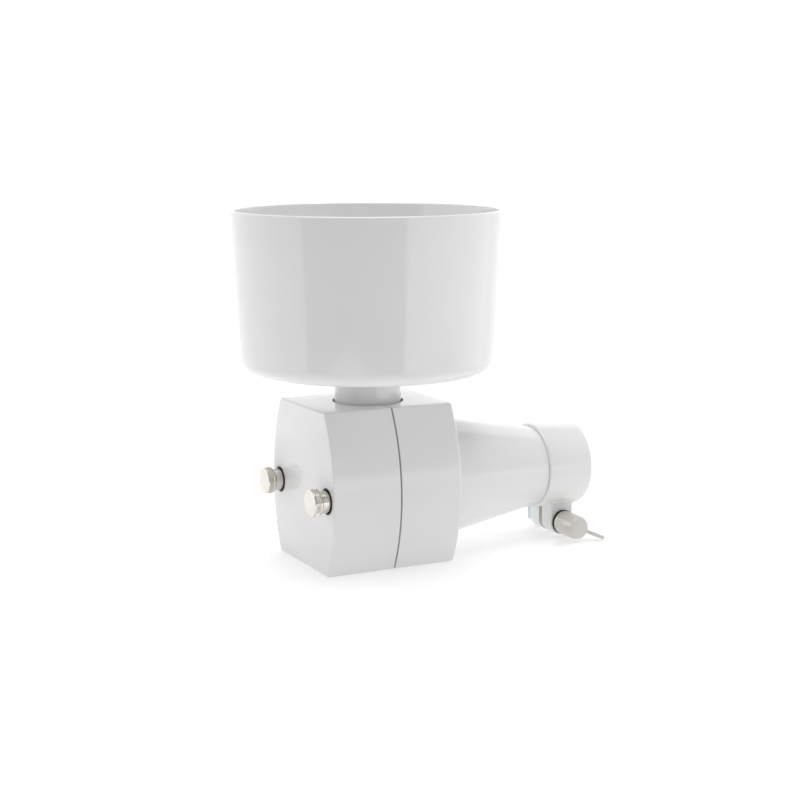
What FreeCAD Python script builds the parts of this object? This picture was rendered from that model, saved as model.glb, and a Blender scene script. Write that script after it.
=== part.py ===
"""Stone grain mill attachment for a kitchen machine: drum hopper, two-half housing, cone and clamp collar.

Frame: millimetres, +Z up. The mill stands on its flat base at z = 0. +X runs along the drive shaft,
from the flat front plate to the clamp collar that takes the kitchen machine's drive hub.
"""

import FreeCAD, Part
import math
import os

import Sketcher

# Driving dimensions in millimetres, or in degrees where the name says so.
DRIVING = {
    # where the main lines of the mill lie
    "hopper_axis_x": -35.0,
    "drive_height": 47.0,
    # the two housing halves
    "body_height": 100.0,
    "body_half_width": 47.0,
    "side_radius": 109.3,
    "front_length": 45.0,
    "rear_length": 42.0,
    "housing_wall": 3.0,
    "front_wall": 3.5,
    "parting_gap": 0.8,
    "tongue_length": 3.0,
    "tongue_wall": 1.8,
    "slide_clearance": 0.3,
    "front_round": 0.8,
    "rear_round": 1.2,
    "neck_hole_radius": 22.2,
    "wall_opening_radius": 20.0,
    "outlet_offset": 7.0,
    "outlet_length": 17.0,
    "outlet_half_width": 18.0,
    # cone and spigot behind the rear wall
    "cone_length": 76.0,
    "cone_start_radius": 39.4,
    "cone_end_radius": 26.15,
    "web_offset": 63.0,
    "web_thickness": 10.0,
    "web_bore_radius": 9.0,
    "spigot_length": 30.0,
    "spigot_radius": 25.2,
    "hub_radius": 22.0,
    "hub_length": 21.0,
    "hub_stop_radius": 20.5,
    # clamp collar with its two ears
    "collar_length": 32.0,
    "collar_radius": 27.9,
    "collar_bore_radius": 25.25,
    "collar_lip": 1.9,
    "collar_lip_radius": 23.0,
    "clamp_slit": 4.0,
    "ear_offset": 9.5,
    "ear_length": 16.8,
    "ear_half_width": 13.2,
    "clamp_screw_offset": 18.3,
    "clamp_screw_height": 9.4,
    "ear_hole_radius": 4.3,
    # clamp bolt (M8), washer and wing nut
    "bolt_radius": 4.0,
    "bolt_length": 45.0,
    "bolt_head_height": 7.5,
    "bolt_head_flats": 13.0,
    "washer_thickness": 2.0,
    "washer_radius": 8.0,
    "wing_hub_radius": 7.75,
    "wing_hub_length": 20.6,
    "wing_hub_round": 4.5,
    "wing_span_radius": 20.0,
    "wing_thickness": 2.6,
    "wing_tilt_degrees": 24.5,
    "wing_root_along": 5.0,
    "wing_root_reach": 4.0,
    "wing_neck_along": 9.0,
    "wing_shoulder_along": 14.0,
    "wing_shoulder_reach": 13.0,
    "wing_tip_start": 18.0,
    "wing_tip_end": 24.3,
    "wing_heel_along": 23.5,
    "wing_heel_reach": 12.0,
    "wing_foot_along": 17.0,
    "wing_insert_radius": 5.5,
    "wing_insert_length": 17.5,
    # studs (M6), thumb nuts, washers and seals
    "stud_spacing": 36.0,
    "stud_radius": 3.0,
    "stud_length": 78.5,
    "stud_end": 8.5,
    "stud_boss_radius": 9.0,
    "stud_boss_length": 31.5,
    "stud_insert_radius": 5.0,
    "stud_insert_length": 12.0,
    "thread_clearance": 0.05,
    "plate_hole_radius": 8.2,
    "plate_boss_radius": 9.0,
    "plate_boss_depth": 3.5,
    "nut_collar_radius": 6.9,
    "nut_collar_length": 7.2,
    "nut_groove_radius": 6.0,
    "nut_groove_width": 0.8,
    "nut_head_radius": 8.5,
    "nut_head_length": 5.0,
    "nut_chamfer": 0.7,
    "nut_bore_depth": 11.0,
    "nut_washer_thickness": 1.5,
    "nut_washer_radius": 7.0,
    "seal_inner_radius": 7.25,
    "seal_thickness": 3.2,
    # hopper drum, its sloping floor and neck
    "drum_underside": 119.5,
    "drum_height": 99.0,
    "drum_foot_radius": 78.8,
    "drum_rim_radius": 84.0,
    "drum_wall": 2.5,
    "drum_round": 9.0,
    "rim_round": 0.8,
    "neck_radius": 20.75,
    "neck_bore_radius": 17.5,
    "neck_bottom": 88.0,
    "funnel_flange_radius": 25.0,
    "funnel_rise": 34.0,
    "funnel_wall": 2.5,
    "funnel_rim_radius": 78.0,
    # feed housing: barrel along the shaft with an inlet tube under the neck
    "barrel_radius": 17.0,
    "barrel_bore_radius": 13.5,
    "barrel_front": 15.0,
    "barrel_rear": 19.0,
    "stone_flange_radius": 29.5,
    "stone_flange_thickness": 3.0,
    "seal_seat_radius": 10.0,
    "seal_width": 4.0,
    "bearing_radius": 16.0,
    "bearing_width": 10.0,
    "seat_radius": 19.5,
    "seat_length": 12.0,
    "wall_flange_radius": 26.6,
    "wall_flange_thickness": 3.5,
    "inlet_radius": 14.8,
    "inlet_bore_radius": 12.0,
    "inlet_cup_radius": 21.5,
    "inlet_cup_bottom": 31.5,
    "inlet_cup_top": 40.8,
    "neck_seal_thickness": 1.6,
    "neck_seal_outer_radius": 20.6,
    # shaft and what turns with it
    "shaft_radius": 6.0,
    "shaft_front_thread_radius": 5.0,
    "shaft_front_thread_length": 4.0,
    "shaft_front": 41.0,
    "shaft_length": 162.5,
    "running_clearance": 0.05,
    "clip_groove_radius": 5.3,
    "clip_width": 1.0,
    "clip_radius": 8.0,
    "lock_nut_flats": 17.0,
    "lock_nut_height": 3.7,
    "carrier_radius": 27.0,
    "carrier_thickness": 2.5,
    "carrier_hub_radius": 9.0,
    "carrier_hub_length": 7.5,
    "stone_radius": 30.0,
    "rotating_stone_thickness": 8.1,
    "fixed_stone_thickness": 8.5,
    "stone_gap": 0.4,
    "stone_plate_thickness": 2.5,
    "stone_eye_radius": 13.5,
    "stone_breaker_radius": 20.0,
    "stone_breaker_depth": 3.0,
    "furrow_width": 2.0,
    "furrow_depth": 0.8,
    "auger_radius": 12.8,
    "auger_hub_radius": 8.0,
    "auger_length": 44.0,
    "auger_pitch": 14.0,
    "auger_flight": 2.4,
    "coupling_radius": 17.0,
    "coupling_length": 9.3,
    "coupling_bore_depth": 4.8,
    "coupling_socket_flats": 14.0,
    "pin_radius": 1.5,
}

FURROWS = 12
STONE_SCREWS = 3
WALL_SCREWS = 4


class Size:
    """A length that knows its value and the spreadsheet expression it comes from."""

    def __init__(self, value, text):
        self.value = value
        self.text = text

    def __add__(self, other):
        other = as_size(other)
        return Size(self.value + other.value, f"({self.text} + {other.text})")

    def __sub__(self, other):
        other = as_size(other)
        return Size(self.value - other.value, f"({self.text} - {other.text})")

    def __mul__(self, factor):
        return Size(self.value * factor, f"({self.text} * {factor!r})")

    def __neg__(self):
        return Size(-self.value, f"(0 - {self.text})")


def as_size(number):
    """A plain number as a Size, so that both can stand in a sum."""
    if isinstance(number, Size):
        return number
    return Size(float(number), repr(float(number)))


def make_sheet(doc):
    """Write the driving dimensions to the spreadsheet and hand them back by name."""
    sheet = doc.addObject("Spreadsheet::Sheet", "Sizes")
    sizes = {}
    for row, (name, value) in enumerate(DRIVING.items(), start=1):
        sheet.set(f"A{row}", name)
        sheet.set(f"B{row}", str(value))
        sheet.setAlias(f"B{row}", name)
        sizes[name] = Size(value, f"Sizes.{name}")
    doc.recompute()
    return sizes


doc = FreeCAD.newDocument("grain_mill")
S = make_sheet(doc)
ZERO = as_size(0)

# Derived lines, along the drive shaft and up from the base.
front_face = S["hopper_axis_x"] - S["front_length"]
rear_face = S["hopper_axis_x"] + S["rear_length"]
cone_end = rear_face + S["cone_length"]
clamp_screw_x = cone_end + S["clamp_screw_offset"]
stone_joint = S["hopper_axis_x"] - S["barrel_front"]
fixed_stone_back = stone_joint - S["stone_plate_thickness"]
fixed_stone_face = fixed_stone_back - S["fixed_stone_thickness"]
rotating_stone_face = fixed_stone_face - S["stone_gap"]
carrier_face = rotating_stone_face - S["rotating_stone_thickness"]
shaft_front_x = S["hopper_axis_x"] - S["shaft_front"]
shaft_rear_x = shaft_front_x + S["shaft_length"]
web_rear_x = rear_face + S["web_offset"] + S["web_thickness"]
coupling_x = shaft_rear_x + as_size(0.5) - S["coupling_bore_depth"]
nut_seat_x = front_face + S["front_wall"] - S["nut_washer_thickness"]
washer_y = -(S["ear_half_width"])

# How a piece turned about its own X axis is laid along another direction.
ALONG = {
    "+X": FreeCAD.Rotation(),
    "-X": FreeCAD.Rotation(FreeCAD.Vector(0, 0, 1), 180),
    "+Z": FreeCAD.Rotation(FreeCAD.Vector(0, 1, 0), -90),
    "-Y": FreeCAD.Rotation(FreeCAD.Vector(0, 0, 1), -90),
}


def bind(thing, prop, size):
    """Set one property of a document object from the spreadsheet."""
    thing.setExpression(prop, as_size(size).text)


def place(thing, x, y, z, along="+X"):
    """Give an object its place and direction, bound to the spreadsheet."""
    x, y, z = as_size(x), as_size(y), as_size(z)
    base = FreeCAD.Vector(x.value, y.value, z.value)
    thing.Placement = FreeCAD.Placement(base, ALONG[along])
    for axis, size in zip("xyz", (x, y, z)):
        bind(thing, f"Placement.Base.{axis}", size)


def new_body(label, x, y, z, along="+X"):
    """A PartDesign body with its label and place."""
    body = doc.addObject("PartDesign::Body", label)
    body.Label = label
    place(body, x, y, z, along)
    return body


def new_sketch(body, plane, offset=ZERO):
    """A sketch on one of the body's own origin planes, moved along the plane's normal."""
    sketch = body.newObject("Sketcher::SketchObject", f"{body.Label}_sketch")
    planes = {feature.Role: feature for feature in body.Origin.OriginFeatures}
    sketch.AttachmentSupport = [(planes[plane], "")]
    sketch.MapMode = "FlatFace"
    bind(sketch, "AttachmentOffset.Base.z", offset)
    return sketch


def fix_point(sketch, geometry, point, across, up):
    """Hold one point of a sketch at sizes from the spreadsheet."""
    for kind, size, zero_axis in (("DistanceX", across, -2), ("DistanceY", up, -1)):
        size = as_size(size)
        if abs(size.value) < 1e-9:
            sketch.addConstraint(Sketcher.Constraint("PointOnObject", geometry, point, zero_axis))
            continue
        ends = (-1, 1, geometry, point) if size.value > 0 else (geometry, point, -1, 1)
        row = sketch.addConstraint(Sketcher.Constraint(kind, *ends, abs(size.value)))
        bind(sketch, f"Constraints[{row}]", size if size.value > 0 else -size)


def add_outline(sketch, corners):
    """A closed outline of straight lines with every corner bound."""
    corners = [(as_size(a), as_size(b)) for a, b in corners]
    points = [FreeCAD.Vector(a.value, b.value, 0) for a, b in corners]
    first = sketch.GeometryCount
    count = len(points)
    for index in range(count):
        sketch.addGeometry(Part.LineSegment(points[index], points[(index + 1) % count]), False)
    for index in range(count):
        following = first + (index + 1) % count
        sketch.addConstraint(Sketcher.Constraint("Coincident", first + index, 2, following, 1))
    for index, (across, up) in enumerate(corners):
        fix_point(sketch, first + index, 1, across, up)


def add_circle(sketch, across, up, radius):
    """A circle with its centre and radius bound."""
    across, up, radius = as_size(across), as_size(up), as_size(radius)
    centre = FreeCAD.Vector(across.value, up.value, 0)
    circle = sketch.addGeometry(Part.Circle(centre, FreeCAD.Vector(0, 0, 1), radius.value), False)
    row = sketch.addConstraint(Sketcher.Constraint("Radius", circle, radius.value))
    bind(sketch, f"Constraints[{row}]", radius)
    fix_point(sketch, circle, 3, across, up)


def add_hexagon(sketch, flats, first_corner_degrees=0):
    """A hexagon about the origin, given across its flats."""
    reach = 1 / math.sqrt(3)
    corners = []
    for corner in range(6):
        turn = math.radians(first_corner_degrees + 60 * corner)
        corners.append((flats * (reach * math.cos(turn)), flats * (reach * math.sin(turn))))
    add_outline(sketch, corners)


def pad(body, sketch, length, middle=False, reverse=False):
    """Add material along the sketch's normal."""
    feature = body.newObject("PartDesign::Pad", f"{body.Label}_pad")
    feature.Profile = sketch
    bind(feature, "Length", length)
    feature.SideType = "Symmetric" if middle else "One side"
    feature.Reversed = reverse
    return feature


def pocket(body, sketch, length, reverse=False, middle=False):
    """Take material away, against the sketch's normal unless reversed, and check that some went."""
    doc.recompute()
    before = body.Shape.Volume
    feature = body.newObject("PartDesign::Pocket", f"{body.Label}_pocket")
    feature.Profile = sketch
    bind(feature, "Length", length)
    feature.SideType = "Symmetric" if middle else "One side"
    feature.Reversed = reverse
    doc.recompute()
    if body.Shape.Volume >= before:
        raise RuntimeError(f"a pocket of {body.Label} cuts nothing")
    return feature


def revolve(body, corners, axis="H_Axis", cut=False):
    """Turn an outline of (along, radius) corners about a sketch axis, as material or as a groove."""
    sketch = new_sketch(body, "XZ_Plane")
    add_outline(sketch, corners)
    kind = "PartDesign::Groove" if cut else "PartDesign::Revolution"
    feature = body.newObject(kind, f"{body.Label}_turned")
    feature.Profile = sketch
    feature.ReferenceAxis = (sketch, [axis])
    feature.Angle = 360
    return feature


def edge_names(shape, test):
    """The names of the edges whose middle point passes the test."""
    names = []
    for number, edge in enumerate(shape.Edges, start=1):
        middle = edge.valueAt((edge.FirstParameter + edge.LastParameter) / 2)
        if test(edge, middle):
            names.append(f"Edge{number}")
    return names


def soften(body, base, test, size, kind="Fillet"):
    """Round or chamfer the edges of a feature that pass the test."""
    doc.recompute()
    names = edge_names(base.Shape, test)
    if not names:
        raise RuntimeError(f"{body.Label} has no edge to soften")
    feature = body.newObject(f"PartDesign::{kind}", f"{body.Label}_{kind.lower()}")
    feature.Base = (base, names)
    bind(feature, "Radius" if kind == "Fillet" else "Size", size)
    doc.recompute()
    return feature


def ring_edge(along, radius):
    """A test for the circular edge of a turned piece at a place along its axis."""
    def test(edge, middle):
        reach = math.hypot(middle.y, middle.z)
        return abs(middle.x - as_size(along).value) < 0.01 and abs(reach - as_size(radius).value) < 0.01
    return test


def turned_piece(label, corners, x, y, z, along="+X"):
    """A piece that is one turned outline."""
    body = new_body(label, x, y, z, along)
    revolve(body, corners)
    return body


def turned_ring(label, inner, outer, length, x, y, z, along="+X"):
    """A plain ring, washer or bush."""
    corners = [(0, inner), (0, outer), (length, outer), (length, inner)]
    return turned_piece(label, corners, x, y, z, along)


def rod(label, radius, length, x, y, z, along="+X"):
    """A plain round pin or stud."""
    return turned_piece(label, [(0, 0), (0, radius), (length, radius), (length, 0)], x, y, z, along)


def add_section(sketch, inset):
    """The housing's section: flat base and top, sides bowed about the drive axis height."""
    radius = S["side_radius"] - inset
    half_width = S["body_half_width"] - inset
    low = inset - S["drive_height"]
    high = S["body_height"] - S["drive_height"] - inset
    centre = radius - half_width
    reach_low = math.sqrt(radius.value ** 2 - low.value ** 2) - centre.value
    reach_high = math.sqrt(radius.value ** 2 - high.value ** 2) - centre.value
    foot = FreeCAD.Vector(reach_low, low.value, 0)
    head = FreeCAD.Vector(reach_high, high.value, 0)
    far_foot = FreeCAD.Vector(-reach_low, low.value, 0)
    far_head = FreeCAD.Vector(-reach_high, high.value, 0)
    side = FreeCAD.Vector(half_width.value, 0, 0)
    sketch.addGeometry(Part.LineSegment(far_foot, foot), False)
    sketch.addGeometry(Part.Arc(foot, side, head), False)
    sketch.addGeometry(Part.LineSegment(head, far_head), False)
    sketch.addGeometry(Part.Arc(far_head, -side, far_foot), False)
    # an arc runs counter-clockwise, so each side's arc starts at its right-hand end
    for joint in ((0, 2, 1, 1), (1, 2, 2, 1), (2, 2, 3, 1), (3, 2, 0, 1)):
        sketch.addConstraint(Sketcher.Constraint("Coincident", *joint))
    for arc, ends in ((1, (1, 3, -1, 1)), (3, (-1, 1, 3, 3))):
        sketch.addConstraint(Sketcher.Constraint("PointOnObject", arc, 3, -1))
        row = sketch.addConstraint(Sketcher.Constraint("Radius", arc, radius.value))
        bind(sketch, f"Constraints[{row}]", radius)
        row = sketch.addConstraint(Sketcher.Constraint("DistanceX", *ends, centre.value))
        bind(sketch, f"Constraints[{row}]", centre)
    for line, height in ((0, low), (2, high)):
        sketch.addConstraint(Sketcher.Constraint("Horizontal", line))
        ends = (-1, 1, line, 1) if height.value > 0 else (line, 1, -1, 1)
        row = sketch.addConstraint(Sketcher.Constraint("DistanceY", *ends, abs(height.value)))
        bind(sketch, f"Constraints[{row}]", height if height.value > 0 else -height)


def section_block(body, inset, start, length, cut=False):
    """Add or cut a length of the housing's section, starting at a place along the shaft."""
    sketch = new_sketch(body, "YZ_Plane", start)
    add_section(sketch, inset)
    if cut:
        return pocket(body, sketch, length, reverse=True)
    return pad(body, sketch, length)


def drill(body, centres, radius, start, depth):
    """Round holes along +X at (y, z) centres."""
    sketch = new_sketch(body, "YZ_Plane", start)
    for across, up in centres:
        add_circle(sketch, across, up, radius)
    return pocket(body, sketch, depth, reverse=True)


def stud_centres():
    """The two stud axes, one on each side of the shaft."""
    return [(-S["stud_spacing"], ZERO), (S["stud_spacing"], ZERO)]


def ring_centres(radius, count, first_degrees):
    """Evenly spaced (y, z) points on a circle about the drive axis."""
    centres = []
    for index in range(count):
        turn = math.radians(first_degrees + 360 * index / count)
        centres.append((radius * round(math.cos(turn), 9), radius * round(math.sin(turn), 9)))
    return centres


def cut_neck_half(body, centre_x):
    """The half-round hole that the hopper neck passes, in the top of a housing half."""
    top = S["body_height"] - S["drive_height"]
    sketch = new_sketch(body, "XY_Plane", top)
    add_circle(sketch, centre_x, 0, S["neck_hole_radius"])
    pocket(body, sketch, S["housing_wall"] + S["tongue_wall"] + 1)


def outer_edges(end_x):
    """A test for the four long edges of a housing half and the outline of its closed end."""
    def test(edge, middle):
        along = abs(edge.tangentAt(edge.FirstParameter).x) > 0.9
        return along or abs(middle.x - as_size(end_x).value) < 0.01
    return test


def make_front_housing():
    """Front half: the flat plate, two nut bosses and the flour outlet in its floor."""
    body = new_body("front_housing", front_face, 0, S["drive_height"])
    length = S["front_length"] - S["parting_gap"] * 0.5
    block = section_block(body, ZERO, ZERO, length)
    soften(body, block, outer_edges(0), S["front_round"], "Chamfer")
    section_block(body, S["housing_wall"], S["front_wall"], length, cut=True)
    bosses = new_sketch(body, "YZ_Plane", S["front_wall"] - 1)
    for across, up in stud_centres():
        add_circle(bosses, across, up, S["plate_boss_radius"])
    pad(body, bosses, S["plate_boss_depth"] + 1)
    drill(body, stud_centres(), S["plate_hole_radius"], ZERO, S["front_wall"])
    bore = S["stud_radius"] + S["slide_clearance"]
    drill(body, stud_centres(), bore, ZERO, S["front_wall"] + S["plate_boss_depth"] + 1)
    cut_neck_half(body, S["front_length"])
    outlet = new_sketch(body, "XY_Plane", -S["drive_height"])
    start, half = S["outlet_offset"], S["outlet_half_width"]
    end = start + S["outlet_length"]
    add_outline(outlet, [(start, -half), (end, -half), (end, half), (start, half)])
    pocket(body, outlet, S["housing_wall"] + 1, reverse=True)
    return body


def make_rear_housing():
    """Rear half: stud bosses inside, then the cone with its bearing web and the split spigot."""
    start_x = S["hopper_axis_x"] + S["parting_gap"] * 0.5
    body = new_body("rear_housing", start_x, 0, S["drive_height"])
    length = S["rear_length"] - S["parting_gap"] * 0.5
    block = section_block(body, ZERO, ZERO, length)
    soften(body, block, outer_edges(length), S["rear_round"], "Chamfer")
    tongue_inset = S["housing_wall"] + S["slide_clearance"]
    section_block(body, tongue_inset, -S["tongue_length"], S["tongue_length"])
    inner_inset = tongue_inset + S["tongue_wall"]
    section_block(body, inner_inset, -S["tongue_length"], S["tongue_length"] * 2, cut=True)
    cavity = length - S["housing_wall"] - 0.5
    hollow_start = S["tongue_length"] - 0.5
    section_block(body, S["housing_wall"], hollow_start, cavity - hollow_start, cut=True)

    web_front = length + S["web_offset"]
    web_rear = web_front + S["web_thickness"]
    cone_rear = length + S["cone_length"]
    spigot_end = cone_rear + S["spigot_length"]
    stop = spigot_end - S["hub_length"]
    inner_start = S["cone_start_radius"] - S["housing_wall"]
    corners = [(length, inner_start), (length, S["cone_start_radius"])]
    corners += [(cone_rear, S["cone_end_radius"]), (cone_rear, S["spigot_radius"])]
    corners += [(spigot_end, S["spigot_radius"]), (spigot_end, S["hub_radius"])]
    corners += [(stop, S["hub_radius"]), (stop, S["hub_stop_radius"])]
    corners += [(web_rear, S["hub_stop_radius"]), (web_rear, S["web_bore_radius"])]
    corners += [(web_front, S["web_bore_radius"]), (web_front, S["cone_end_radius"] - 1)]
    revolve(body, corners)

    slit = new_sketch(body, "XY_Plane")
    half = S["clamp_slit"] * 0.5
    slit_start = cone_rear + 2
    slit_end = spigot_end + 1
    add_outline(slit, [(slit_start, -half), (slit_end, -half), (slit_end, half), (slit_start, half)])
    pocket(body, slit, S["spigot_radius"] + 1)

    boss_start = cavity - S["stud_boss_length"]
    bosses = new_sketch(body, "YZ_Plane", boss_start)
    for across, up in stud_centres():
        add_circle(bosses, across, up, S["stud_boss_radius"])
    pad(body, bosses, S["stud_boss_length"] + 1)
    drill(body, stud_centres(), S["stud_insert_radius"], boss_start, S["stud_insert_length"])
    stud_hole_radius = S["stud_radius"] + S["thread_clearance"]
    drill(body, stud_centres(), stud_hole_radius, boss_start, S["stud_boss_length"] - 4)
    drill(body, [(ZERO, ZERO)], S["wall_opening_radius"], cavity - 1, S["housing_wall"] + 3)
    screws = ring_centres(S["wall_opening_radius"] + 3.5, WALL_SCREWS, 45)
    drill(body, screws, S["pin_radius"] + 0.6, cavity - 1, S["housing_wall"] + 3)
    cut_neck_half(body, -(S["parting_gap"] * 0.5))
    return body


def make_clamp_collar():
    """Ring round the spigot, with two ears under it that the clamp bolt pulls together."""
    body = new_body("clamp_collar", cone_end, 0, S["drive_height"])
    drop = S["drive_height"] - S["clamp_screw_height"]
    centre = S["clamp_screw_offset"]
    radius = S["ear_length"] * 0.5
    left, right = S["ear_offset"], S["ear_offset"] + S["ear_length"]
    middle = left + radius
    ears = new_sketch(body, "XZ_Plane")
    top = -(S["collar_radius"] - 2)
    add_outline(ears, [(left, -drop), (right, -drop), (right, top), (left, top)])
    pad(body, ears, S["ear_half_width"] * 2, middle=True)
    rounds = new_sketch(body, "XZ_Plane")
    add_circle(rounds, middle, -drop, radius)
    pad(body, rounds, S["ear_half_width"] * 2, middle=True)
    length, lip = S["collar_length"], S["collar_lip"]
    ring = [(0, S["collar_bore_radius"]), (0, S["collar_radius"]), (length, S["collar_radius"])]
    ring += [(length, S["collar_lip_radius"]), (length - lip, S["collar_lip_radius"])]
    ring += [(length - lip, S["collar_bore_radius"])]
    revolve(body, ring)
    bore, bore_end = S["collar_bore_radius"], length - lip
    clear = [(0, 0), (0, bore), (bore_end, bore), (bore_end, 0)]
    revolve(body, clear, cut=True)
    slit = new_sketch(body, "XY_Plane")
    half = S["clamp_slit"] * 0.5
    add_outline(slit, [(-1, -half), (length + 1, -half), (length + 1, half), (-1, half)])
    pocket(body, slit, S["drive_height"])
    hole = new_sketch(body, "XZ_Plane")
    add_circle(hole, centre, -drop, S["ear_hole_radius"])
    pocket(body, hole, S["ear_half_width"] * 2 + 2, middle=True)
    return body


def make_clamp_bolt():
    """Hexagon head bolt along -Y through both ears."""
    start = S["ear_half_width"] + S["bolt_head_height"]
    body = new_body("clamp_bolt", clamp_screw_x, start, S["clamp_screw_height"], "-Y")
    head = new_sketch(body, "YZ_Plane")
    add_hexagon(head, S["bolt_head_flats"], 30)
    pad(body, head, S["bolt_head_height"])
    shank = new_sketch(body, "YZ_Plane")
    add_circle(shank, 0, 0, S["bolt_radius"])
    pad(body, shank, S["bolt_head_height"] + S["bolt_length"])
    return body


def make_wing_nut():
    """Hub with a rounded end and two wings that lean outwards, clear of the collar as it turns."""
    start = -(S["ear_half_width"] + S["washer_thickness"])
    body = new_body("wing_nut", clamp_screw_x, start, S["clamp_screw_height"], "-Y")
    length, radius = S["wing_hub_length"], S["wing_hub_radius"]
    hub = revolve(body, [(0, 0), (0, radius), (length, radius), (length, 0)])
    soften(body, hub, ring_edge(length, radius), S["wing_hub_round"])
    tip = S["wing_span_radius"]
    half = S["wing_thickness"] * 0.5
    for side in (1, -1):
        wing = new_sketch(body, "XZ_Plane")
        corners = [(S["wing_root_along"], S["wing_root_reach"]), (S["wing_neck_along"], radius)]
        corners += [(S["wing_shoulder_along"], S["wing_shoulder_reach"]), (S["wing_tip_start"], tip)]
        corners += [(S["wing_tip_end"], tip), (S["wing_heel_along"], S["wing_heel_reach"])]
        corners.append((S["wing_foot_along"], S["wing_root_reach"]))
        add_outline(wing, [(along, reach * side) for along, reach in corners])
        pad(body, wing, half * 2, middle=True)
    bore = [(0, 0), (0, S["wing_insert_radius"]), (S["wing_insert_length"], S["wing_insert_radius"])]
    revolve(body, bore + [(S["wing_insert_length"], 0)], cut=True)
    # the wings' plane holds the bolt's axis, with the +X wing hanging down to the table
    upright = FreeCAD.Rotation(FreeCAD.Vector(1, 0, 0), 90)
    tilt = FreeCAD.Rotation(FreeCAD.Vector(0, 1, 0), DRIVING["wing_tilt_degrees"])
    body.Placement.Rotation = tilt.multiply(ALONG["-Y"]).multiply(upright)
    return body


def make_thumb_nut(side, y):
    """Round nut with a collar that passes the plate and a larger gripping head."""
    groove = S["nut_collar_length"] + S["nut_groove_width"]
    total = groove + S["nut_head_length"]
    bore = S["stud_radius"] + S["thread_clearance"]
    corners = [(0, bore), (0, S["nut_collar_radius"]), (S["nut_collar_length"], S["nut_collar_radius"])]
    corners += [(S["nut_collar_length"], S["nut_groove_radius"]), (groove, S["nut_groove_radius"])]
    corners += [(groove, S["nut_head_radius"]), (total, S["nut_head_radius"]), (total, 0)]
    corners += [(S["nut_bore_depth"], 0), (S["nut_bore_depth"], bore)]
    body = new_body(f"{side}_thumb_nut", nut_seat_x, y, S["drive_height"], "-X")
    nut = revolve(body, corners)
    soften(body, nut, ring_edge(total, S["nut_head_radius"]), S["nut_chamfer"], "Chamfer")
    return body


def make_stud_set(side, y):
    """The pieces on one stud: stud, brass insert, washer, seal and thumb nut."""
    height = S["drive_height"]
    stud_start = front_face - S["stud_end"]
    rod(f"{side}_stud", S["stud_radius"], S["stud_length"], stud_start, y, height)
    boss_start = rear_face - S["housing_wall"] - 0.5 - S["stud_boss_length"]
    insert_bore = S["stud_radius"] + S["thread_clearance"]
    turned_ring(f"{side}_stud_insert", insert_bore, S["stud_insert_radius"], S["stud_insert_length"],
                boss_start, y, height)
    turned_ring(f"{side}_nut_washer", S["stud_radius"] + S["slide_clearance"], S["nut_washer_radius"],
                S["nut_washer_thickness"], nut_seat_x, y, height)
    turned_ring(f"{side}_plate_seal", S["seal_inner_radius"], S["plate_hole_radius"], S["seal_thickness"],
                front_face - 0.3, y, height)
    make_thumb_nut(side, y)


def make_hopper_drum():
    """Tapered drum wall with a flat underside and a hole for the neck."""
    body = new_body("hopper_drum", S["hopper_axis_x"], 0, S["drum_underside"], "+Z")
    height, wall = S["drum_height"], S["drum_wall"]
    hole = S["neck_radius"] + 0.2
    foot, rim = S["drum_foot_radius"], S["drum_rim_radius"]
    corners = [(0, hole), (0, foot), (height, rim), (height, rim - wall)]
    corners += [(wall, foot - wall), (wall, hole)]
    drum = revolve(body, corners)
    drum = soften(body, drum, ring_edge(0, foot), S["drum_round"])
    drum = soften(body, drum, ring_edge(wall, foot - wall), S["drum_round"] - wall)
    drum = soften(body, drum, ring_edge(height, rim), S["rim_round"])
    soften(body, drum, ring_edge(height, rim - wall), S["rim_round"])
    return body


def make_hopper_funnel():
    """Sloping floor inside the drum, with the neck that plugs into the housing."""
    body = new_body("hopper_funnel", S["hopper_axis_x"], 0, S["neck_bottom"], "+Z")
    floor = S["drum_underside"] + S["drum_wall"] - S["neck_bottom"]
    wall = S["funnel_wall"]
    top = floor + S["funnel_rise"] + wall
    flange, rim, bore = S["funnel_flange_radius"], S["funnel_rim_radius"], S["neck_bore_radius"]
    corners = [(0, bore), (0, S["neck_radius"]), (floor, S["neck_radius"]), (floor, flange)]
    corners += [(floor + S["funnel_rise"], rim), (top + wall, rim), (top + wall, rim - wall)]
    corners += [(top, rim - wall), (floor + wall, bore)]
    revolve(body, corners)
    return body


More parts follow.
